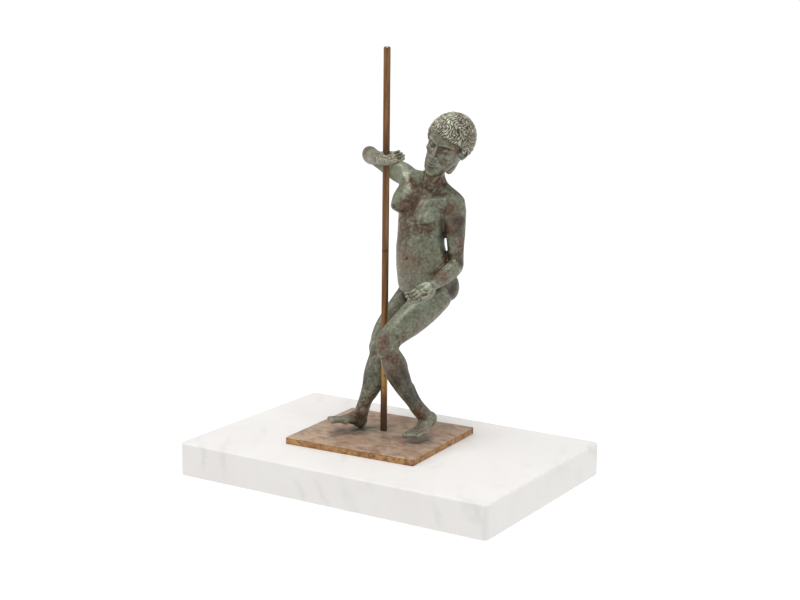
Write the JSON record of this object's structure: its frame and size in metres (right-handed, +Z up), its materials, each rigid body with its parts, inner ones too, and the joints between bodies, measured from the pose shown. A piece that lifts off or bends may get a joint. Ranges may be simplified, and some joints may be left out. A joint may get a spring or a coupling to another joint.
{
  "type": "dancer sculpture",
  "caption": "Small patinated bronze of a striding nude dancer holding an upright brass rod, on a bronze plate fixed to a white marble slab.",
  "frame": {"origin": "middle of the marble slab's underside", "axes": "+Z up, X along the slab's long side towards the figure's left, -Y the way the figure's chest faces"},
  "size_m": [0.205, 0.138, 0.2496],
  "materials": {
    "marble": "honed white marble with faint grey veins",
    "plate": "copper-brown bronze, matt, with grey-green blotches and light scratches",
    "rod": "tarnished brass, darker near the hand and the plate",
    "figure": "cast bronze with grey-green verdigris over warm brown"
  },
  "bodies": {
    "root": {"marble_slab": "marble", "bronze_plate": "plate", "brass_rod": "rod", "dancer_figure": "figure"}
  },
  "joints": []
}
